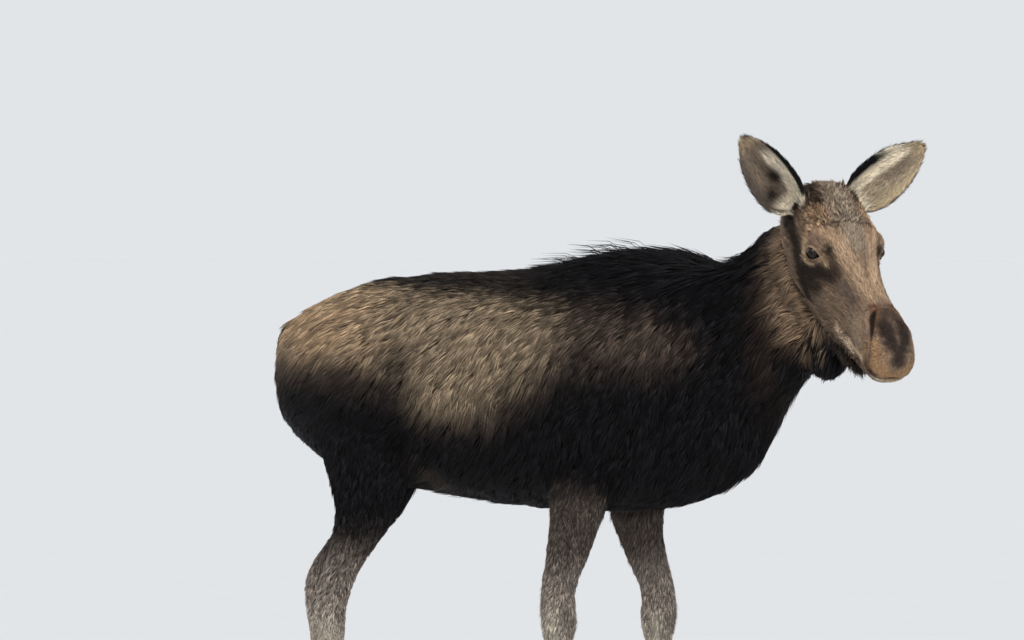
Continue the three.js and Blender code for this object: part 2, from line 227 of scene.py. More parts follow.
# Broad, plain parts take large triangles and slender ones small; the second number is the hide in square metres.
thin_out(part, ("trunk", "neck", "thigh"), 17 * MM, 2.95)
thin_out(nearest_part(points_of(skin.data)), ("bell", "tail", "forearm", "gaskin", "cannon", "pastern"),
         9 * MM, 1.0)


def drift(place, size):
    """Smooth random numbers about 0 that change over a length."""
    return np.array([noise.noise(p) for p in (place / size).tolist()])


points, triangles = points_of(skin.data), triangles_of(skin.data)
edges = edges_of(triangles)
part = nearest_part(points)
broad = is_part(part, "trunk", "neck", "thigh")
face = is_part(part, "head", "muzzle", "jaw")
joint = spread(is_part(part, "thigh", "forearm", "bell"), edges, 10)
joint = np.clip(4 * joint * (1 - joint), 0, 1)       # where a limb runs into the body
for turn in range(16):                               # broad flesh is eased most, and the slender parts least
    ease = np.clip((turn < 14) * broad + (turn < 9) * face + (turn < 3) + joint, 0, 1)
    points = spread(points, edges, 1, 0.5 * ease[:, None])
# Thick hair lies in uneven drifts, a few millimetres high.
clumped = spread(broad, edges, 8) * (5 * drift(points, 0.13) + 3.5 * drift(points + 3, 0.05)) * MM
points = points + clumped[:, None] * corner_normals(points, triangles)
skin.data.vertices.foreach_set("co", points.astype(np.float32).ravel())

# ---- The face ----
# The face is thin skin over bone and gristle: lids over the eyeballs, a tear pit in front of each, a long soft
# muzzle with slit nostrils, and loose lips. Coordinates are the head's own, in millimetres: x runs from the poll
# to the nose, y to the animal's left and z out of the forehead; both sides are drawn alike.

POLL = np.array((0.802, -0.100, 1.957))
HEAD_AXES = np.array(Matrix.Rotation(math.radians(-44), 3, "Z") @ Matrix.Rotation(math.radians(48), 3, "Y"))
EYE_RADIUS = 23.0
EYE_OPENING = (26.5, 20.0, 14.0)        # from the middle to a corner, to the upper lid and to the lower lid
LID = 2.4                       # thickness of a lid
EYE_FRONT = unit(np.array((0.36, 0.85, 0.38)))       # the way an eye looks out, on the left side
EYE_CORNERS = unit(np.cross(EYE_FRONT, np.cross((0.93, 0, 0.36), EYE_FRONT)))   # from back corner to tear corner
NOSTRIL = [(498, 34, -20), (522, 50, -26), (552, 60, -32), (590, 72, -46), (622, 79, -70), (640, 80, -96)]
MOUTH = [(686, 0, -126), (678, 50, -131), (655, 72, -130), (610, 84, -124), (545, 70, -152), (480, 46, -186),
         (430, 44, -205)]
TEAR_PIT = [(236, 100, -74), (258, 92, -64), (286, 86, -72)]
FOLDS = [                       # centre, reach and push of each soft swelling or hollow
    ((206, 104, -42), (48, 22, 18), (0, 11, 9)),       # bony brow
    ((262, 92, -62), (24, 18, 15), (0, -7, -2)),       # tear pit
    ((205, 112, -128), (46, 22, 20), (0, 5, 0)),       # cheekbone under the eye
    ((320, 92, -118), (80, 18, 14), (0, 5, 0)),        # crest of the cheekbone, running forward
    ((360, 76, -74), (80, 22, 20), (0, -6, 0)),        # hollow along the side of the nose
    ((380, 84, -165), (80, 24, 26), (0, -5, 0)),       # hollow cheek over the teeth
    ((150, 108, -230), (56, 26, 66), (0, 6, 0)),       # chewing muscle
    ((112, 112, -64), (34, 20, 22), (0, -5, 0)),       # temple
    ((470, 30, -14), (40, 30, 18), (0, 0, 4)),         # end of the nose bone
    ((648, 44, -106), (40, 34, 46), (4, 6, 0)),        # overhanging upper lip
    ((590, 52, -24), (38, 22, 16), (0, 3, 5)),         # roll over the nostril
    ((620, 86, -120), (30, 16, 22), (0, 4, 0)),        # lip behind the nostril
]


def to_head(points):
    return (points - POLL) @ HEAD_AXES / MM


def from_head(local):
    return POLL + local @ HEAD_AXES.T * MM


def left_side(local):
    """Folds the head's right side onto its left."""
    return local * (1, -1, 1) * (local[:, 1:2] < 0) + local * (local[:, 1:2] >= 0)


def line_distance(points, line):
    """Each point's distance from a broken line, and how far along the line it lies, from 0 to 1."""
    line = np.array(line, float)
    best, along = np.full(len(points), 1e9), np.zeros(len(points))
    for k, (a, b) in enumerate(zip(line[:-1], line[1:])):
        t = np.clip((points - a) @ (b - a) / ((b - a) @ (b - a)), 0, 1)
        gap = np.linalg.norm(points - a - t[:, None] * (b - a), axis=1)
        along = np.where(gap < best, (k + t) / (len(line) - 1), along)
        best = np.minimum(gap, best)
    return best, along


def refine(thing, wanted):
    """Halves the edges whose middle is in the wanted region. wanted takes head coordinates."""
    mesh = thing.data
    pairs = np.empty(len(mesh.edges) * 2, np.int32)
    mesh.edges.foreach_get("vertices", pairs)
    ends = left_side(to_head(points_of(mesh)))[pairs.reshape(-1, 2)]
    chosen = wanted(ends.mean(1)) & (ends.mean(1)[:, 0] > -150)
    cut = bmesh.new()
    cut.from_mesh(mesh)
    cut.edges.ensure_lookup_table()
    bmesh.ops.subdivide_edges(cut, edges=[cut.edges[k] for k in np.flatnonzero(chosen)], cuts=1,
                              use_grid_fill=True)
    bmesh.ops.triangulate(cut, faces=cut.faces)
    cut.to_mesh(mesh)
    cut.free()


eye_middle = left_side(to_head(np.array([(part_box("eye_left")[0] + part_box("eye_left")[1]) / 2])))[0]
eye_up = np.cross(EYE_FRONT, EYE_CORNERS)


def eye_place(side):
    """Where points lie as the eye sees them: towards the tear corner, up, out, and 1 on the almond of the lids."""
    u, v, h = ((side - eye_middle) @ way for way in (EYE_CORNERS, eye_up, EYE_FRONT))
    rise = np.abs(v) / np.where(v > 0, *EYE_OPENING[1:])
    return u, v, h, 0.5 * (rise + np.sqrt(rise ** 2 + 4 * (u / EYE_OPENING[0]) ** 2))


# Finer triangles round the eyes and nostrils, and finer still on the lids.
refine(skin, lambda p: (np.linalg.norm(p - eye_middle, axis=1) < 46) | (line_distance(p, NOSTRIL)[0] < 24))
refine(skin, lambda p: np.linalg.norm(p - eye_middle, axis=1) < 31)

points, triangles = points_of(skin.data), triangles_of(skin.data)
edges = edges_of(triangles)
part = nearest_part(points)
in_head = is_part(part, "head", "muzzle", "jaw") > 0
local = to_head(points)
left = np.where(local[:, 1:2] < 0, -1.0, 1.0)
side = left_side(local)
lip_line = spread(is_part(part, "jaw"), edges, 3)
lips = np.exp(-((lip_line - 0.5) / 0.22) ** 2) * np.clip((side[:, 0] - 400) / 40, 0, 1) * in_head

# Folds, then the nostrils with their raised rims, the tear pits and the mouth, all along the normals.
shift = np.zeros_like(side)
for centre, reach, push in FOLDS:
    shift += np.exp(-(((side - centre) / reach) ** 2).sum(1))[:, None] * np.array(push, float)
normals = corner_normals(points, triangles) @ HEAD_AXES
normals[:, 1:2] *= left
gap, along = line_distance(side, NOSTRIL)
slit = np.interp(along, (0, 0.15, 0.42, 0.7, 1), (6, 9, 8, 4, 3))          # half its width
sunk = np.interp(along, (0, 0.12, 0.45, 0.7, 1), (8, 20, 16, 4, 2))        # and its depth
pit = in_head * sunk * np.exp(-(gap / slit) ** 2)
shift += normals * (0.22 * sunk * np.exp(-((gap - 19) / 7) ** 2) - pit)[:, None]
gap, along = line_distance(side, TEAR_PIT)
shift += normals * (-4.0 * np.exp(-(gap / 6) ** 2))[:, None]
shift -= normals * (6.5 * lips)[:, None]
groove = in_head * np.exp(-(line_distance(side, MOUTH)[0] / 5) ** 2)
shift -= normals * (5.0 * groove)[:, None]
side = side + shift * in_head[:, None]

# Lids: inside the opening the skin goes in behind the eyeball, and round it it lies on the ball.
u, v, h, opening = eye_place(side)
span = np.hypot(u, v)
close = in_head & (span < 44) & (h > -25)
rim = np.clip(1 / np.maximum(opening, 0.05), 0, 30)
snap = close & (opening > 0.86) & (opening < 1.10)
u, v = np.where(snap, u * np.clip(rim, 0.8, 1.25), u), np.where(snap, v * np.clip(rim, 0.8, 1.25), v)
span = np.hypot(u, v)
ball = np.sqrt(np.clip(EYE_RADIUS ** 2 - span ** 2, 0, None))
over = np.sqrt(np.clip((EYE_RADIUS + LID) ** 2 - np.clip(span, 0, EYE_RADIUS + LID) ** 2, 0, None))
drape = np.clip((span - 16) / 24, 0, 1)
drape = drape * drape * (3 - 2 * drape)
fold_in = -2.6 * np.exp(-((opening - 1.52) / 0.13) ** 2) + 2.2 * np.exp(-((opening - 1.95) / 0.25) ** 2)
outside = np.maximum(h, over * (1 - drape) + h * drape) + fold_in
height = np.where(opening >= 0.97, np.where(close, outside, h), ball - 7.0)
height = np.where(snap & (opening < 0.97), ball - 0.6, height)
placed = eye_middle + u[:, None] * EYE_CORNERS + v[:, None] * eye_up + height[:, None] * EYE_FRONT
side = np.where(close[:, None], placed, side)
side[:, 1:2] *= left
points = np.where(in_head[:, None], from_head(side), points)
skin.data.vertices.foreach_set("co", points.astype(np.float32).ravel())
skin.data.update()

# ---- Colour of the hide ----
# Winter hair is dark brown to black over the hump, shoulder, neck and thighs, grizzled brown on the rump and
# flank, and pale grey on the shanks. The same markings colour the skin and the hair that grows from it.

def rgb(code):
    """A hex colour as linear red, green and blue."""
    return np.array([(c / 12.92 if c <= 0.04045 else ((c + 0.055) / 1.055) ** 2.4)
                     for c in (int(code[k:k + 2], 16) / 255 for k in (1, 3, 5))])


def ramp(x, low, high):
    t = np.clip((x - low) / (high - low), 0, 1)
    return t * t * (3 - 2 * t)


BODY_SHIFT = np.array((0.164, -0.110, 0.0))      # from the model's origin to the middle of the back's line
BROWN_EDGE = (       # along the body, the height under which brown hair turns black
    (-1.00, -0.83, -0.63, -0.46, -0.38, -0.27, -0.12, -0.03, 0.08, 0.18, 0.30),
    (1.455, 1.455, 1.445, 1.42, 1.310, 1.285, 1.315, 1.365, 1.46, 1.56, 1.66))
GRIZZLED, GOLDEN, UMBER, SOOT, CREAM = "#98866f", "#ae9376", "#574a40", "#141215", "#fbeed6"
FACE_MARKS = [       # colour, strength, half width, path in the head's coordinates
    ("#a0917f", 0.9, 46, [(30, 0, 5), (150, 0, 2), (235, 0, 0)]),                      # grizzled forehead
    ("#2e251d", 0.95, 38, [(-12, 62, -16), (20, 76, -32), (48, 72, -26)]),             # dark tufts by the ears
    ("#c2a284", 0.9, 24, [(150, 112, -74), (150, 108, -41), (180, 84, -18)]),          # pale brow
    ("#ab8d6e", 0.80, 24, [(92, 82, -26), (122, 74, -18)]),                            # golden patch over it
    ("#c0a488", 0.92, 30, [(215, 60, -14), (330, 36, -20), (450, 18, -20)]),           # bridge of the nose
    ("#2c241f", 0.97, 27, [(17, 119, -92), (56, 116, -119), (130, 121, -131), (189, 121, -158),
                           (241, 106, -194), (268, 84, -222)]),                        # bar from ear to throat
    ("#2c241f", 0.97, 36, [(222, 120, -136), (272, 100, -104), (316, 80, -78)]),       # below the eye
    ("#2f2721", 0.90, 38, [(236, 110, -172), (290, 98, -150)]),                        # on the cheekbone
    ("#241c17", 0.97, 14, [(234, 86, -38), (246, 84, -42)]),                           # in front of the eye
    ("#4a3b30", 0.85, 15, [(262, 82, -44), (300, 76, -56), (326, 74, -68)]),           # beside the nose
    ("#6f6157", 0.80, 24, [(360, 72, -72), (428, 62, -60)]),                           # side of the nose
    ("#cdb08c", 0.95, 6, [(238, 96, -60), (256, 92, -66), (273, 88, -76)]),            # ridge of the tear pit
    ("#a08770", 0.85, 40, [(345, 84, -160), (440, 64, -160)]),                         # cheek
    ("#9b8670", 0.80, 30, [(480, 72, -96), (570, 80, -100)]),                          # behind the nostril
    ("#a98560", 0.95, 34, [(612, 70, -60), (655, 58, -84), (676, 40, -104), (682, 10, -124)]),  # upper lip
    ("#40322a", 0.90, 34, [(520, 4, -6), (552, 34, -12), (600, 16, -14)]),             # top of the muzzle
    ("#261c18", 0.92, 27, [(572, 40, -14), (630, 22, -24), (652, 0, -36), (674, 0, -58)]),      # its dark band
    ("#6b4a30", 0.85, 20, [(494, 33, -17), (540, 48, -28), (575, 56, -34)]),           # stained by the breath
    ("#5f4e43", 0.70, 15, [(575, 68, -44), (622, 80, -70), (640, 81, -96)]),           # along the slit
    ("#2c2724", 0.92, 46, [(250, 0, -330), (420, 0, -280), (560, 0, -226)]),           # under the jaw
    ("#f3d9bb", 0.98, 21, [(422, 42, -203), (467, 39, -196), (520, 42, -178)]),        # pale band over the lip
    ("#e6c8a8", 0.95, 13, [(520, 42, -178), (575, 70, -130), (613, 84, -115)]),        # its narrow front end
    ("#5c3f2c", 0.92, 17, [(648, 78, -112), (664, 70, -120)]),                         # wet corner of the mouth
    ("#241915", 0.92, 9, [(664, 69, -120), (678, 57, -119)]),                          # the dark gap there, painted shade between the lips
    ("#cdb9a2", 0.9, 9, [(672, 60, -132), (682, 30, -142), (685, 0, -146)]),           # lower lip
]
EARS = {             # root in the head's coordinates, axis and mouth in the model's, length; bowl and outer edge
    "ear_left": ((-10, 102, -94), (0.76, 0.13, 0.61), (0.404, -0.92, 0.05), 0.304, "#ab9c86", "#c8b596"),
    # The right ear's bowl and edge colours are darker than the left's: painted shade.
    "ear_right": ((-10, -86, -92), (-0.47, -0.5, 0.74), (0.2, -0.9, -0.3), 0.289, "#877868", "#5a514c"),
}


def lay(colour, code, share):
    return colour + np.clip(share, 0, 1)[:, None] * (rgb(code) - colour)


def bump(x, middle, reach):
    return np.exp(-((x - middle) / reach) ** 2)


def edge_of_crest(x):
    """Height above which the crest of the neck is black."""
    return np.interp(x, (0.50, 0.66, 0.80, 0.90), (1.58, 1.66, 1.86, 1.95))


def ear_place(name, points):
    """Where points lie on an ear: u from its outer edge (-1) to its inner edge (1), v from root to tip."""
    root, axis, mouth, length = EARS[name][:4]
    axis = unit(np.array(axis))
    mouth = unit(np.array(mouth) - np.dot(mouth, axis) * axis)
    inner = np.cross(axis, mouth)
    inner *= -np.sign(inner @ HEAD_AXES[:, 1]) if name == "ear_left" else np.sign(inner @ HEAD_AXES[:, 1])
    from_root = points - from_head(np.array(root, float))
    v = from_root @ axis / length
    u = from_root @ inner / (0.079 * np.sqrt(np.clip(1 - (np.clip(v, 0, 1) - 0.42) ** 2 / 0.36, 0.05, 1)))
    return u, v, axis, mouth, inner


def hide_colours(points, part, normals):
    """The colour of the hide at each corner, linear. Later markings cover earlier ones, and their borders wander."""
    x, y, z = (points + BODY_SHIFT).T
    wander = 0.030 * drift(points, 0.14) + 0.016 * drift(points + 5, 0.05) + 0.008 * drift(points + 9, 0.02)
    x, y, z = x + wander, y + wander[::-1], z + wander

    # Trunk: black below, brown above an edge, golden on the rump, and a black stripe that widens to the hump.
    body = np.tile(rgb(SOOT), (len(points), 1))
    edge = np.interp(x, *BROWN_EDGE)
    brown = ramp(z, edge - 0.045, edge + 0.05)
    body = lay(body, UMBER, 0.85 * ramp(z, edge - 0.14, edge) * ramp(z, 1.14, 1.30))
    body = lay(body, GRIZZLED, brown * (1 - 0.55 * ramp(x, -0.12, 0.20)))
    # the golden fades by half towards the top of the back: painted shade that darkens the top, which the light from
    # above brightens
    body = lay(body, GOLDEN, 0.9 * brown * ramp(-x, 0.40, 0.66) * (1 - 0.5 * ramp(z, 1.56, 1.66)))
    body = lay(body, UMBER, 0.85 * ramp(x, 0.02, 0.20) * ramp(z, 1.36, 1.50) * (1 - ramp(x, 0.50, 0.66)))
    stripe = np.interp(x, (-0.70, -0.58, -0.40, 0.0), (0.0, 0.05, 0.13, 0.16))
    body = lay(body, SOOT, 0.95 * (1 - ramp(np.abs(y), stripe - 0.03, stripe + 0.035)) * ramp(z, 1.5, 1.55))
    body = lay(body, SOOT, ramp(z, 1.60, 1.66) * ramp(x, -0.02, 0.16))

    # Thighs black, with painted shadow in the fold of the flank and a rubbed patch at its foot.
    dark = is_part(part, "thigh", "gaskin") > 0
    body[dark] = lay(body, "#151417", np.ones(len(x)))[dark]
    # painted shadow: darker still in the fold where the thigh meets the belly
    flank_fold_shadow = bump(x, -0.425 - 0.10 * (z - 1.4), 0.045) * ramp(z, 1.10, 1.20) * (1 - ramp(z, 1.44, 1.50))
    body = lay(body, "#100f11", flank_fold_shadow)
    body = lay(body, "#6b5b50", 0.7 * bump(x + 0.45 * (z - 1.10), -0.36, 0.035) * bump(z, 1.04, 0.07))

    # Neck: black crest, chest and bell, dark brown towards the head, and a golden ruff behind the cheek.
    on_neck = is_part(part, "neck", "bell")
    neck = lay(body, SOOT, np.ones(len(x)))
    neck = lay(neck, "#352a25", 0.85 * ramp(x, 0.66, 0.79) * ramp(z, 1.20, 1.42))
    ruff_edge = np.interp(z, (1.44, 1.50, 1.60, 1.72), (0.93, 0.83, 0.785, 0.755))
    neck = lay(neck, "#957d65", 0.95 * ramp(x, ruff_edge - 0.03, ruff_edge + 0.04) * ramp(z, 1.40, 1.50))
    neck = lay(neck, SOOT, ramp(x, 0.76, 0.83) * (1 - ramp(z, 1.44, 1.52)))
    neck = lay(neck, SOOT, ramp(z, edge_of_crest(x) - 0.04, edge_of_crest(x)))
    neck = lay(neck, SOOT, is_part(part, "bell"))
    blend = ramp(x, 0.42, 0.62)[:, None] * on_neck[:, None]
    body = body + blend * (neck - body)

    # Tail dark brown. Legs fade from black down to pale grey, and darken again over the hooves.
    body = lay(body, "#2b2320", 0.9 * is_part(part, "tail"))
    shank = is_part(part, "forearm", "gaskin", "cannon", "pastern")
    top = np.where(x < -0.2, 0.80, 0.98)                # the black comes lower on the hind legs
    body = lay(body, "#62574f", 0.9 * shank * (1 - ramp(z, top - 0.08, top + 0.19)))
    body = lay(body, "#968a80", shank * (1 - ramp(z, 0.70, 0.86)))
    body = lay(body, "#cbbfb0", shank * (1 - ramp(z, 0.52, 0.70)))
    body = lay(body, "#8a7c72", 0.7 * shank * (1 - ramp(z, 0.14, 0.30)))
    body = lay(body, "#2c2624", 0.85 * shank * (1 - ramp(z, 0.08, 0.14)))
    body = lay(body, "#4b423d", 0.5 * shank * bump(z, 0.585, 0.06) * ramp(normals[:, 0], 0.2, 0.8))

    # Face: brown, with the marks above, dark nostrils and mouth deepened with painted shade in their pits and
    # crease, and pale rings round the lids.
    side = left_side(to_head(points))
    face = np.tile(rgb("#8a7461"), (len(points), 1))
    ragged = 0.5 * drift(points, 0.016) + 0.35 * drift(points + 5, 0.007)
    for code, strength, width, path in FACE_MARKS:
        gap = line_distance(side, path)[0] * (1 + ragged)
        face = lay(face, code, strength * (1 - ramp(gap, 0.35 * width, 1.35 * width)))
    face = lay(face, "#191513", 0.95 * (1 - ramp(np.linalg.norm(side - (4, 104, -84), axis=1), 26, 46)))
    # painted shade over dark skin, deepest in the nostril pits and along the crease of the mouth
    face = lay(face, "#1d1410", ramp(pit, 3, 8))
    face = lay(face, "#2a1d18", ramp(groove, 0.3, 0.7))
    u, v, h, opening = eye_place(side)
    by_eye = (h > -30) * 1.0
    face = lay(face, "#9a8068", 0.85 * by_eye * (1 - ramp(opening, 1.5, 2.1)) * ramp(v, -24, -14))
    face = lay(face, "#d0b491", 0.9 * by_eye * bump(opening, 2.0, 0.26) * ramp(v - 0.8 * u, -4, 18))
    face = lay(face, "#c9ac8b", 0.9 * by_eye * bump(opening, 1.38, 0.14) * ramp(-v, -4, 6))
    face = lay(face, "#17110f", by_eye * (1 - ramp(opening, 1.03, 1.13)))
    in_head = is_part(part, "head", "muzzle", "jaw")
    colour = body + in_head[:, None] * (face - body)

    # Ears: dark backs, brown bowls with a cream inner band and root, and a black inner edge. The right ear's bowl
    # and outer edge are painted darker than the left's, with painted shade in its hollow.
    for name, (*_, bowl_colour, edge_colour) in EARS.items():
        here = is_part(part, name) > 0
        u, v, _, mouth, _ = ear_place(name, points)
        inside = ramp(normals @ mouth, -0.05, 0.35)
        bowl = np.tile(rgb(bowl_colour), (len(points), 1))
        bowl = lay(bowl, edge_colour, 0.9 * ramp(-u, 0.45, 0.85))
        bowl = lay(bowl, "#5d5148", 0.6 * bump(v, 0.62, 0.22) * bump(u, -0.12, 0.22))
        bowl = lay(bowl, "#b49f80", 0.7 * ramp(v, 0.76, 0.94))
        ends = (0.58, 0.80) if name == "ear_right" else (0.74, 0.90)
        bowl = lay(bowl, CREAM, 0.97 * ramp(u, 0.10, 0.28) * (1 - ramp(v, *ends)))
        bowl = lay(bowl, CREAM, 0.85 * (1 - ramp(v, 0.10, 0.22)))
        # painted shade: two dark patches in the hollow of the right ear's bowl
        if name == "ear_right":
            bowl = lay(bowl, "#241c18", 1.25 * bump(v, 0.41, 0.10) * bump(u, 0.04, 0.27))
            bowl = lay(bowl, "#241c18", 1.2 * bump(v, 0.26, 0.09) * bump(u, -0.46, 0.25))
        ear = np.tile(rgb("#4a3f38"), (len(points), 1))
        ear = ear + inside[:, None] * (bowl - ear)
        dark_from, fades = (0.70, 1.0) if name == "ear_right" else (0.60, 1 - ramp(v, 0.50, 0.72))
        ear = lay(ear, "#110f0f", ramp(u, dark_from, dark_from + 0.1) * fades)
        ear = lay(ear, "#110f0f", ramp(v, 0.92, 0.98) * ramp(u, -0.3, 0.2) * (name == "ear_right"))
        ear = lay(ear, "#1d1815", (1 - ramp(np.abs(v), 0.02, 0.10)) * (1 - inside))
        colour[here] = ear[here]
    return colour


normals = corner_normals(points, triangles)
hide = spread(hide_colours(points, part, normals), edges, 1)
# The skin under long hair is painted darker, as painted shade in the gaps between the locks.
long_haired = is_part(part, "trunk", "neck", "bell", "tail", "thigh", "forearm", "gaskin")
underfur_painted_shade = hide * (1 - 0.5 * spread(long_haired, edges, 6))[:, None]      # woolly underfur, darkened by half with painted shade under the guard hair
skin.data.attributes.new("hide", "FLOAT_COLOR", "POINT").data.foreach_set(
    "color", np.c_[underfur_painted_shade, np.ones(len(hide))].astype(np.float32).ravel())


def add(material, kind, inputs=None, **settings):
    """Adds one node with its settings, its values and its links."""
    made = material.node_tree.nodes.new("ShaderNode" + kind)
    for key, value in settings.items():
        setattr(made, key, value)
    for key, value in (inputs or {}).items():
        if isinstance(value, bpy.types.NodeSocket):
            material.node_tree.links.new(value, made.inputs[key])
        else:
            made.inputs[key].default_value = value
    return made


def new_material(name):
    made = bpy.data.materials.new(name)
    made.use_nodes = True
    made.node_tree.nodes.clear()
    return made


def finished(material, shader):
    add(material, "OutputMaterial", {"Surface": shader.outputs[0]})
    return material


# Short-haired hide: matt, mottled by the underfur in patches 13 mm across, with a fine nap of 2.4 mm.
hide_material = new_material("short_haired_hide")
place = add(hide_material, "TexCoord").outputs["Object"]
colour = add(hide_material, "Attribute", attribute_name="hide").outputs["Color"]
mottle = add(hide_material, "TexNoise", {"Vector": place, "Scale": 1 / (13.33 * MM), "Detail": 3.0}).outputs["Fac"]
mottle = add(hide_material, "MapRange", {"Value": mottle, "From Min": 0.3, "From Max": 0.7,
                                         "To Min": 0.72, "To Max": 1.14}).outputs["Result"]
colour = add(hide_material, "VectorMath", {0: colour, 1: mottle}, operation="MULTIPLY").outputs[0]
nap = add(hide_material, "TexNoise", {"Vector": place, "Scale": 1 / (2.38 * MM), "Detail": 2.0}).outputs["Fac"]
nap = add(hide_material, "Bump", {"Height": nap, "Strength": 0.5, "Distance": 1.2 * MM}).outputs["Normal"]
finished(hide_material, add(hide_material, "BsdfPrincipled", {
    "Base Color": colour, "Roughness": 0.72, "Specular IOR Level": 0.25, "Normal": nap}))
skin.data.materials.clear()
skin.data.materials.append(hide_material)
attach(skin, "root")
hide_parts(*PARTS)

# ---- The unwrap ----
# A flat pattern of the hide, as a furrier would cut it for a mount. It places each tuft of hair by its root, so
# that skin and hair can be coloured alike.

for other in bpy.context.view_layer.objects:
    other.select_set(other == skin)
bpy.context.view_layer.objects.active = skin
for layer in list(skin.data.uv_layers):
    skin.data.uv_layers.remove(layer)
skin.data.uv_layers.new(name="OFBake")
bpy.ops.object.mode_set(mode="EDIT")
bpy.ops.mesh.select_all(action="SELECT")
bpy.ops.uv.smart_project(angle_limit=math.radians(66), island_margin=0.001)
bpy.ops.object.mode_set(mode="OBJECT")
pattern = np.empty(len(skin.data.loops) * 2)
skin.data.uv_layers["OFBake"].data.foreach_get("uv", pattern)
pattern = pattern.reshape(-1, 3, 2)

# ---- The lie of the hair ----
# Hair on the trunk slopes back and down, on the legs straight down, on the neck down from the crest, and on the
# face from the nose back to the poll. Length and stand follow the region.

def under_the_jaw(side, part, normals):
    """1 where the beard hangs."""
    reach = ramp(side[:, 0], 230, 310) * (1 - ramp(side[:, 0], 500, 580))
    return is_part(part, "jaw", "head") * reach * ramp(-normals @ HEAD_AXES[:, 2], 0.60, 0.85)


def lie_of_hair(points, part, normals):
    """The way the hair points at each corner, along the skin."""
    x, _, z = (points + BODY_SHIFT).T
    n = len(points)
    down = np.interp(x, (-0.95, -0.6, -0.3, 0.3, 0.6), (0.75, 1.05, 1.75, 2.3, 2.8))
    lie = np.stack([-np.ones(n), np.zeros(n), -down * (0.25 + 0.75 * (1 - ramp(z, 1.52, 1.66)))], 1)
    chest = ramp(x, 0.55, 0.80) * (1 - ramp(z, 1.30, 1.50))
    lie = lie + chest[:, None] * (np.array((-0.25, 0, -2.4)) - lie)
    neck = is_part(part, "neck")[:, None] * ramp(x, 0.40, 0.60)[:, None]
    lie = lie + neck * (np.array((-0.75, 0.0, -1.0)) - lie)
    for words, way in ((("thigh", "forearm"), (-0.35, 0, -1.6)), (("gaskin",), (-0.3, 0, -1)),
                       (("cannon", "pastern"), (0, 0, -1)), (("tail", "bell"), (-0.1, 0, -1))):
        here = is_part(part, *words) > 0
        lie[here] = way
    side = left_side(to_head(points))
    sign = np.where(to_head(points)[:, 1] < 0, -1.0, 1.0)
    face = np.stack([-np.ones(n), 0.30 * sign * ramp(side[:, 0], 420, 200), -0.35 * ramp(-side[:, 2], 40, 160)], 1)
    nose = np.stack([-0.4 * np.ones(n), 0.5 * sign, -0.9 * np.ones(n)], 1)
    face = face + ramp(side[:, 0], 560, 640)[:, None] * (nose - face)
    face = face @ HEAD_AXES.T
    here = is_part(part, "head", "muzzle", "jaw") > 0
    lie[here] = face[here]
    hanging = under_the_jaw(side, part, normals) > 0.3
    lie[hanging] = (-0.2, 0, -1)
    for name in EARS:
        here = is_part(part, name) > 0
        u, _, axis, mouth, inner = ear_place(name, points)
        out_of_bowl = 0.25 * mouth - 0.7 * u[:, None] * inner
        lie[here] = (axis + (normals @ mouth > 0.1)[:, None] * out_of_bowl)[here]
    return lie


lie = unit(lie_of_hair(points, part, normals))
for _ in range(14):
    lie = spread(lie, edges, 1, 0.5 * (1 - 0.8 * is_part(part, "ear"))[:, None])
    lie = unit(lie - (lie * normals).sum(1)[:, None] * normals)

HAIR = {    # hair length, tuft width, height of the tips over the skin (all millimetres) and tufts per square metre
    "trunk": (96, 3.9, 21, 38000), "neck": (92, 4.6, 26, 37000), "bell": (120, 4.6, 30, 60000),
    "tail": (70, 4.6, 15, 50000), "thigh": (66, 3.9, 15, 38000), "forearm": (42, 3.9, 11, 38000),
    "gaskin": (38, 3.7, 10, 40000), "cannon": (26, 2.7, 5, 62000), "pastern": (24, 2.8, 5, 64000),
    "head": (17, 2.7, 5.5, 95000), "muzzle": (8, 2.0, 2.4, 115000), "jaw": (15, 2.7, 4.5, 100000),
    "ear": (19, 2.5, 3.4, 72000),
}
fields = np.array([HAIR[next(word for word in HAIR if word in name)] for name in PARTS], float)[part]
x, y, z = (points + BODY_SHIFT).T
side = left_side(to_head(points))
mane = is_part(part, "trunk", "neck") * ramp(z, 1.62, 1.71) * ramp(x, -0.12, 0.10) * (1 - ramp(x, 0.60, 0.80))
mane *= 1 - ramp(np.abs(y), 0.06, 0.15)
crest = is_part(part, "neck") * ramp(z, edge_of_crest(x) - 0.05, edge_of_crest(x) + 0.02)
dewlap = is_part(part, "neck") * (1 - ramp(z, 1.50, 1.62)) * ramp(x, 0.62, 0.80)
beard = under_the_jaw(side, part, normals)
in_head = is_part(part, "head", "muzzle", "jaw")
crown = is_part(part, "head") * (1 - ramp(side[:, 0], 110, 190)) * ramp(side[:, 2], -80, -40)
ruff = is_part(part, "head", "jaw") * (1 - ramp(side[:, 0], 40, 130)) * ramp(side[:, 1], 60, 100) * \
    ramp(-side[:, 2], 95, 130)                    # at the back of the cheek, over the neck
ear_rim = np.zeros(len(points))
for name in EARS:
    ear_rim += is_part(part, name) * ramp(np.abs(ear_place(name, points)[0]), 0.80, 1.0)
fields += np.stack([70 * mane + 40 * crest + 30 * dewlap + 48 * beard + 10 * crown + 30 * ruff + 9 * ear_rim,
                    0.5 * mane + 0.6 * beard + 0.6 * ruff,
                    16 * mane + 6 * crest + 46 * beard + 4.5 * crown + 8 * ruff + 2 * ear_rim,
                    -20000 * beard - 40000 * ruff], 1)
fields = spread(fields, edges, 6)

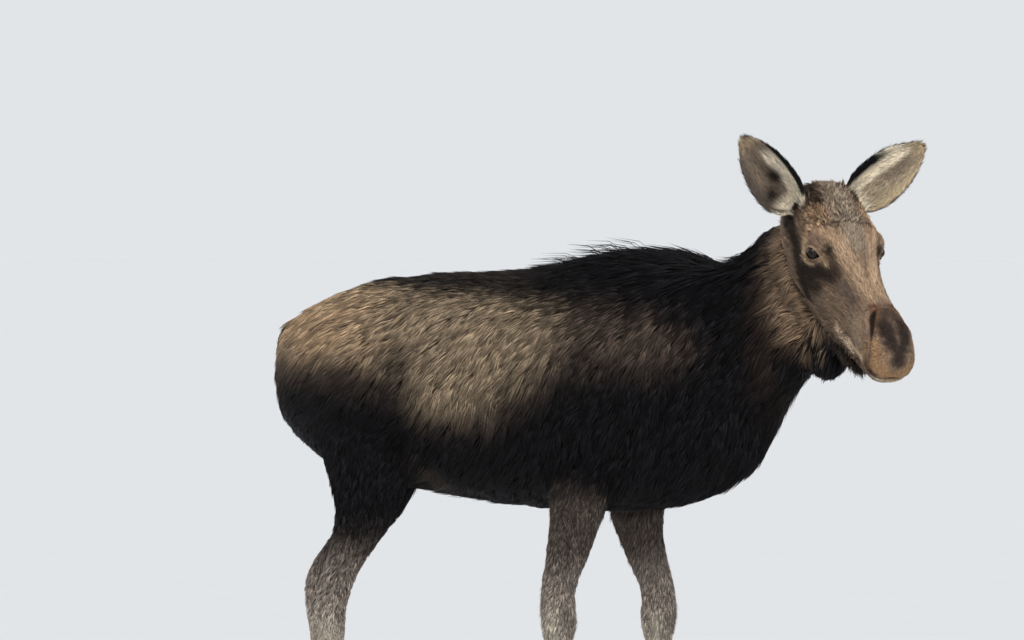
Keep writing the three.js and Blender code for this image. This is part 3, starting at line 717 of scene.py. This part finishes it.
# Lids, nostrils and lips are bare, and hair is short round the eyes.
near_eye = eye_place(side)[3]
bare = np.maximum(1 - ramp(near_eye, 1.10, 1.26), np.maximum(ramp(pit, 1.5, 3.5), ramp(groove, 0.2, 0.5)))
bare = in_head * np.maximum(bare, ramp(side[:, 0], 655, 680) * 0.5)
fields[:, 3] *= 1 - bare
short = 1 - 0.66 * in_head * (1 - ramp(near_eye, 1.2, 2.1))
fields[:, [0, 2]] *= short[:, None]

# ---- The coat ----
# Guard hair over woolly underfur. Each tuft is a few hairs stuck together: a thin tapered blade, rooted in the
# skin, bent over along the lie of the coat and drawn in towards its neighbours' tips, so that locks form.

chance = np.random.default_rng(11)
surface = BVHTree.FromPolygons(points.tolist(), triangles.tolist())
part_of_face = part[triangles[:, 0]]


def roots_on(chosen, density):
    """Scatters roots over some triangles. Gives each one's triangle and its place in it."""
    a, b, c = (points[triangles[chosen][:, k]] for k in range(3))
    area = 0.5 * np.linalg.norm(np.cross(b - a, c - a), axis=1)
    total = np.cumsum(area * density)
    count = int(total[-1])
    hit = np.searchsorted(total, (np.arange(count) + chance.random(count)) * total[-1] / count)
    r, t = np.sqrt(chance.random(count)), chance.random(count)
    return chosen[np.clip(hit, 0, len(chosen) - 1)], np.stack([1 - r, r * (1 - t), r * t], 1)


def at_roots(values, face, share):
    """A corner value carried to the roots."""
    corners = values[triangles[face]]
    return (corners * (share if values.ndim == 1 else share[:, :, None])).sum(1)


def settle(place, height, up):
    """Holds points at a height over the skin, keeping their side of a ridge. Gives them and the normals there."""
    found = [surface.find_nearest(p)[:2] for p in place.tolist()]
    out = unit(np.array([f[1] for f in found]) + 0.7 * up)
    return np.array([f[0] for f in found]) + out * height[:, None], out


def grow_coat(name, chosen, lock, bends=True, draw=0.62, untidy=0.09, shade=0.19, sparse=1.0, stand=1.0):
    """Grows one piece of the coat on some triangles of the skin.

    lock is the width of a lock of tufts, draw how far tips are drawn together, untidy how much they cross,
    shade how much locks differ, and sparse and stand change the number of tufts and their height.
    """
    density = fields[:, 3][triangles[chosen]].mean(1) * sparse
    face, share = roots_on(chosen, density)
    root = at_roots(points, face, share)
    out = unit(at_roots(normals, face, share))
    way = at_roots(lie, face, share)
    length, width, height = (at_roots(fields[:, k], face, share) * MM for k in range(3))
    count = len(root)
    seeds = np.flatnonzero(chance.random(count) < 1.5 / (density.mean() * lock ** 2))
    tree = KDTree(len(seeds))
    for k, p in enumerate(root[seeds].tolist()):
        tree.insert(p, k)
    tree.balance()
    leader = seeds[[tree.find(p)[1] for p in root.tolist()]]            # the tuft that each one leans to

    # A lock shares its shade and its swing, and streaks of shade are drawn out along the lie. The same luck that
    # stands a lock taller paints it lighter, as painted light, and paints lower locks darker, as painted shade.
    lock_luck, lock_swing = np.clip(chance.standard_normal((2, count)), -1.8, 1.8)[:, leader]
    streak = sum(drift(root + way * (k * 0.6 * lock), 0.5 * lock) for k in range(-3, 4))
    streak = np.clip(streak / streak.std(), -2, 2)
    lock_luck = 0.55 * lock_luck + 0.75 * streak

    length = length * (0.72 + 0.5 * chance.random(count))
    height = height * stand * (0.66 + 0.38 * chance.random(count)) * (1 + 0.2 * lock_luck)
    width = width * (0.75 + 0.5 * chance.random(count))
    swing = 0.38 * drift(root, 0.14) + 0.14 * lock_swing + untidy * chance.standard_normal(count)
    across = np.cross(out, way)
    way = unit(way * np.cos(swing)[:, None] + across * np.sin(swing)[:, None])
    across = unit(np.cross(out, way))
    if bends:                        # a closed blade with a bend: its root, a ring of three at the middle, its tip
        middle, up = settle(root + way * (0.5 * length)[:, None], 0.72 * height, out)
        onward = unit(middle - root)
        onward = unit(onward - (onward * up).sum(1)[:, None] * up)
        tip, _ = settle(middle + onward * (0.5 * length)[:, None], height, up)
        near = np.linalg.norm(root - root[leader], axis=1)
        pull = draw * np.exp(-(near / (1.2 * lock)) ** 2)
        pull = (pull * (0.6 + 0.4 * chance.random(count)))[:, None]
        tip = tip + pull * (tip[leader] - tip)
        middle = middle + 0.4 * pull * (middle[leader] + (root - root[leader]) * 0.5 - middle)
        first, ring, last = [root - out * 0.0015], (middle, up), tip
        faces = np.array([(0, 2, 1), (0, 3, 2), (0, 1, 3), (1, 2, 4), (2, 3, 4), (3, 1, 4)])
        patch = np.array([(0, -1.5), (-1.2, 0), (1.2, 0), (0, 0.2), (0, 1.5)]) / 1000     # of the flat pattern
        along = (0.0, 0.5, 0.5, 0.5, 1.0)
    else:                            # a closed spike: a ring of three at the root, and its tip
        tip = root + way * length[:, None] * 0.95 + out * height[:, None]
        first, ring, last = [], (root - out * 0.0008, out), tip
        faces = np.array([(0, 2, 1), (0, 1, 3), (1, 2, 3), (2, 0, 3)])
        patch = np.array([(-1.2, -1.5), (1.2, -1.5), (0, -1.0), (0, 1.5)]) / 1000
        along = (0.25, 0.25, 0.25, 1.0)
    half = (0.5 * width)[:, None]
    corners = np.stack([*first, ring[0] - across * half, ring[0] + across * half, ring[0] + ring[1] * half * 0.8,
                        last], 1)
    per = len(along)
    all_faces = (faces[None] + per * np.arange(count)[:, None, None]).reshape(-1, 3)
    mesh = new_mesh(name, corners.reshape(-1, 3), all_faces)

    colour = np.repeat(at_roots(hide, face, share), per, axis=0)
    hair = np.ones((count, per, 4), np.float32)
    hair[:, :, 0] = along                                                             # root to tip
    # own is a random tone for each lock, and also painted light and shade: taller locks lighter, lower ones darker
    own = 0.5 + shade * lock_luck + 0.10 * chance.standard_normal(count)
    hair[:, :, 1] = np.clip(own, 0, 1)[:, None]                                       # this tuft's own shade
    hair[:, :, 2] = chance.random(count)[:, None]                                     # whether its tip is pale
    mesh.attributes.new("hide", "FLOAT_COLOR", "POINT").data.foreach_set(
        "color", np.c_[colour, np.ones(len(colour))].astype(np.float32).ravel())
    mesh.attributes.new("hair", "FLOAT_COLOR", "POINT").data.foreach_set("color", hair.ravel())
    spot = (pattern[face] * share[:, :, None]).sum(1)
    flat = (spot[:, None] + patch[None]).reshape(-1, 2)[all_faces.ravel()]
    mesh.uv_layers.new(name="OFBake").data.foreach_set("uv", flat.astype(np.float32).ravel())
    piece = new_object(name, mesh)
    mesh.materials.append(guard_hair)
    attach(piece, "root")


# Guard hair: painted shade darkens each tuft towards its root, deep in the coat, and painted light brightens its
# tip; a dull sheen along each tuft, and here and there a pale, weathered tip.
WEATHERED = (1.75, 1.70, 1.62)       # how much lighter a bleached tip is
guard_hair = new_material("winter_guard_hair")
colour = add(guard_hair, "Attribute", attribute_name="hide").outputs["Color"]
hair = add(guard_hair, "Attribute", attribute_name="hair").outputs["Color"]
hair = add(guard_hair, "SeparateColor", {"Color": hair}).outputs
along, own, luck = hair["Red"], hair["Green"], hair["Blue"]
# painted shade and light along each tuft: 0.42 at the root, 1.18 at the tip
painted_depth_shade = add(guard_hair, "MapRange", {"Value": along, "To Min": 0.42, "To Max": 1.18}).outputs["Result"]
own_tone = add(guard_hair, "MapRange", {"Value": own, "To Min": 0.22, "To Max": 1.85}).outputs["Result"]
tone = add(guard_hair, "Math", {0: painted_depth_shade, 1: own_tone}, operation="MULTIPLY").outputs[0]
colour = add(guard_hair, "VectorMath", {0: colour, 1: tone}, operation="MULTIPLY").outputs[0]
pale = add(guard_hair, "MapRange", {"Value": luck, "From Min": 0.86, "From Max": 0.98}).outputs["Result"]
pale = add(guard_hair, "Math", {0: pale, 1: along}, operation="MULTIPLY").outputs[0]
lighter = add(guard_hair, "VectorMath", {0: colour, 1: WEATHERED}, operation="MULTIPLY").outputs[0]
colour = add(guard_hair, "Mix", {"Factor": pale, 6: colour, 7: lighter}, data_type="RGBA").outputs[2]
finished(guard_hair, add(guard_hair, "BsdfPrincipled", {
    "Base Color": colour, "Roughness": 0.62, "Specular IOR Level": 0.16}))


def faces_of(*words):
    return np.flatnonzero(is_part(part_of_face, *words) > 0)


def split(chosen, limit):
    """Cuts a list of triangles into pieces along the body that each grow about as many tufts."""
    a, b, c = (points[triangles[chosen][:, k]] for k in range(3))
    grown = 0.5 * np.linalg.norm(np.cross(b - a, c - a), axis=1) * fields[:, 3][triangles[chosen]].mean(1)
    order = np.argsort(a[:, 0])
    pieces = int(np.ceil(grown.sum() / limit))
    shares = np.floor(np.cumsum(grown[order]) / grown.sum() * pieces * 0.99999).astype(int)
    return [np.sort(chosen[order[shares == k]]) for k in range(pieces)]


TUFTS = 32000                        # in one piece of the coat, at most
for number, chosen in enumerate(split(faces_of("trunk"), TUFTS), 1):
    grow_coat(f"coat_trunk_{number}", chosen, lock=0.024)
for number, chosen in enumerate(split(faces_of("neck"), TUFTS), 1):
    grow_coat(f"coat_neck_{number}", chosen, lock=0.026)
wisps = mane * ramp(x, 0.02, 0.12) * (1 - ramp(x, 0.34, 0.44))
grow_coat("coat_hump_wisps", np.flatnonzero(wisps[triangles].min(1) > 0.5), lock=0.05, draw=0.3,
          untidy=0.22, sparse=0.06, stand=2.1)
for number, chosen in enumerate(split(faces_of("thigh", "forearm", "gaskin"), TUFTS), 1):
    grow_coat(f"coat_upper_legs_{number}", chosen, lock=0.018, shade=0.15)
grow_coat("coat_shanks", faces_of("cannon", "pastern"), lock=0.007, draw=0.3, shade=0.08)
grow_coat("coat_bell", faces_of("bell"), lock=0.022)
grow_coat("coat_tail", faces_of("tail"), lock=0.02)
grow_coat("coat_head", faces_of("head", "muzzle"), lock=0.010, bends=False, shade=0.17)
grow_coat("coat_crown", np.flatnonzero(crown[triangles].min(1) > 0.3), lock=0.013, draw=0.7,
          untidy=0.55, shade=0.30, sparse=0.5, stand=1.9)
grow_coat("coat_ruff", np.flatnonzero(ruff[triangles].min(1) > 0.2), lock=0.015, shade=0.19)
grow_coat("coat_jaw", faces_of("jaw"), lock=0.009, draw=0.5, untidy=0.2, shade=0.15)
grow_coat("coat_ears", faces_of("ear"), lock=0.008, bends=False, shade=0.15)

# ---- Eyes ----
# Dark brown eyes under a clear wet cornea, with a broad level pupil. Each ball sits in its socket, behind the lids
# of the skin.

PUPIL, IRIS = (9.0, 5.5), 15.5       # half widths, and radius, in millimetres
CORNEA = 1.6 * MM                    # how far the cornea bulges


def eyeball(node, left):
    """A ball that bulges at the cornea, with its front along +Z until it is turned to look out."""
    low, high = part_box(node)
    made = bmesh.new()
    bmesh.ops.create_uvsphere(made, u_segments=64, v_segments=40, radius=EYE_RADIUS * MM)
    for corner in made.verts:
        ahead = corner.co.z / (EYE_RADIUS * MM)
        corner.co.z += CORNEA * ramp(ahead, 0.72, 0.98)
    mesh = bpy.data.meshes.new(node + "_ball")
    made.to_mesh(mesh)
    made.free()
    for face in mesh.polygons:
        face.use_smooth = True
    front, corners = EYE_FRONT * (1, left, 1), EYE_CORNERS * (1, left, 1)
    front, corners = HEAD_AXES @ front, HEAD_AXES @ corners
    turn = Matrix((corners, np.cross(front, corners), front)).transposed().to_4x4()
    disc = mesh.attributes.new("disc", "FLOAT_VECTOR", "POINT")
    disc.data.foreach_set("vector", (points_of(mesh) / MM).astype(np.float32).ravel())
    mesh.transform(Matrix.Translation((low + high) / 2) @ turn)
    piece = new_object(node + "_ball", mesh)
    mesh.materials.append(wet_eye)
    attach(piece, "root")
    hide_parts(node)


# Wet cornea over a brown iris: nearly black, with a sharp highlight. The streaks of the iris are 2 mm across.
wet_eye = new_material("wet_brown_eye")
disc = add(wet_eye, "Attribute", attribute_name="disc").outputs["Vector"]
pupil = add(wet_eye, "VectorMath", {0: disc, 1: (1 / PUPIL[0], 1 / PUPIL[1], 0.0)}, operation="MULTIPLY").outputs[0]
pupil = add(wet_eye, "VectorMath", {0: pupil}, operation="LENGTH").outputs["Value"]
iris = add(wet_eye, "VectorMath", {0: disc, 1: (1 / IRIS, 1 / IRIS, 0.0)}, operation="MULTIPLY").outputs[0]
iris = add(wet_eye, "VectorMath", {0: iris}, operation="LENGTH").outputs["Value"]
rays = add(wet_eye, "TexNoise", {"Vector": disc, "Scale": 1 / 2.22, "Detail": 3.0}).outputs["Fac"]
brown = add(wet_eye, "Mix", {"Factor": rays, 6: (*rgb("#150d08"), 1), 7: (*rgb("#2e1e13"), 1)},
            data_type="RGBA").outputs[2]
black_in = add(wet_eye, "MapRange", {"Value": pupil, "From Min": 0.9, "From Max": 1.1}).outputs["Result"]
brown = add(wet_eye, "Mix", {"Factor": black_in, 6: (*rgb("#050404"), 1), 7: brown}, data_type="RGBA").outputs[2]
ring = add(wet_eye, "MapRange", {"Value": iris, "From Min": 0.9, "From Max": 1.05}).outputs["Result"]
brown = add(wet_eye, "Mix", {"Factor": ring, 6: brown, 7: (*rgb("#0d0908"), 1)}, data_type="RGBA").outputs[2]
finished(wet_eye, add(wet_eye, "BsdfPrincipled", {
    "Base Color": brown, "Roughness": 0.14, "Specular IOR Level": 0.15, "Coat Weight": 0.22,
    "Coat Roughness": 0.03}))
eyeball("eye_left", 1)
eyeball("eye_right", -1)

# ---- Hooves ----
# Horn claws and dewclaws, grown in fine rings round the toe and flat on the ground. They stay separate from the
# skin, which laps over their upper rims.

# Weathered horn: a dull half gloss, brown where worn, with growth rings. Real ones are about 3 mm apart, and
# those here are as coarse as they need to be to show.
horn = new_material("black_horn")
place = add(horn, "TexCoord").outputs["Object"]
rings = add(horn, "TexWave", {"Vector": place, "Scale": 1 / (23.8 * MM), "Distortion": 1.5, "Detail": 2.0},
            bands_direction="Z").outputs["Fac"]
wear = add(horn, "TexNoise", {"Vector": place, "Scale": 1 / (33.3 * MM), "Detail": 4.0}).outputs["Fac"]
colour = add(horn, "Mix", {"Factor": wear, 6: (*rgb("#15110f"), 1), 7: (*rgb("#3d342d"), 1)},
             data_type="RGBA").outputs[2]
relief = add(horn, "Bump", {"Height": rings, "Strength": 0.35, "Distance": 1.5 * MM}).outputs["Normal"]
finished(horn, add(horn, "BsdfPrincipled", {"Base Color": colour, "Roughness": 0.42, "Normal": relief}))

for node in sorted(frame["nodes"]):
    if "hoof" not in node and "dewclaw" not in node:
        continue
    claw = new_object(node + "_horn", new_mesh(node + "_horn", *welded(node)))
    applied(claw, "REMESH", mode="VOXEL", voxel_size=(2.6 if "dewclaw" in node else 3.2) * MM)
    rough = points_of(claw.data)
    smooth = spread(rough, edges_of(triangles_of(claw.data)), 4)
    if "hoof" in node:
        smooth[rough[:, 2] < 2 * MM, 2] = 0.0                # the sole stays flat on the floor
        smooth[:, 2] = np.maximum(smooth[:, 2], 0.0)
    claw.data.vertices.foreach_set("co", smooth.astype(np.float32).ravel())
    for face in claw.data.polygons:
        face.use_smooth = True
    claw.data.materials.clear()
    claw.data.materials.append(horn)
    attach(claw, "root")
    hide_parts(node)

# ---- Floor, light and camera ----
# A plain pale floor under an even white sky, with one broad soft lamp high on the camera's side. A long lens looks
# at the animal's right side from a little ahead, at about the height of its back.

REACH = 400                          # half the floor's width, in metres
floor_mesh = bpy.data.meshes.new("floor")
floor_corners = [(x * REACH, y * REACH, 0) for x, y in ((-1, -1), (1, -1), (1, 1), (-1, 1))]
floor_mesh.from_pydata(floor_corners, [], [(0, 1, 2, 3)])
floor = new_object("floor", floor_mesh)
# Matt paint: an even pale grey, with faint patches 33 cm across.
pale_floor = new_material("pale_matt_floor")
place = add(pale_floor, "TexCoord").outputs["Object"]
speckle = add(pale_floor, "TexNoise", {"Vector": place, "Scale": 1 / 0.333}).outputs["Fac"]
speckle = add(pale_floor, "Mix", {"Factor": speckle, 6: (*rgb("#caccce"), 1), 7: (*rgb("#cdcfd2"), 1)},
              data_type="RGBA").outputs[2]
finished(pale_floor, add(pale_floor, "BsdfPrincipled", {
    "Base Color": speckle, "Roughness": 0.9, "Specular IOR Level": 0.1}))
floor_mesh.materials.append(pale_floor)

world = bpy.data.worlds.new("white_sky")
world.use_nodes = True
world.node_tree.nodes["Background"].inputs["Color"].default_value = (*rgb("#e7eaed"), 1)
world.node_tree.nodes["Background"].inputs["Strength"].default_value = 0.95
bpy.context.scene.world = world
lamp = bpy.data.objects.new("soft_lamp", bpy.data.lights.new("soft_lamp", "SUN"))
lamp.data.energy = 2.2
lamp.data.angle = math.radians(28)
lamp.data.color = rgb("#fffcf7")
lamp.rotation_euler = (math.radians(44), 0, math.radians(24))
bpy.context.scene.collection.objects.link(lamp)

lens = bpy.data.cameras.new("camera")
lens.lens = 263.25
lens.clip_end = 500
camera = bpy.data.objects.new("camera", lens)
camera.location = (7.248, -22.701, 1.838)
camera.rotation_euler = (Vector((-0.310, 0.062, 1.533)) - camera.location).to_track_quat("-Z", "Y").to_euler()
bpy.context.scene.collection.objects.link(camera)
bpy.context.scene.camera = camera
bpy.context.scene.view_settings.view_transform = "Standard"
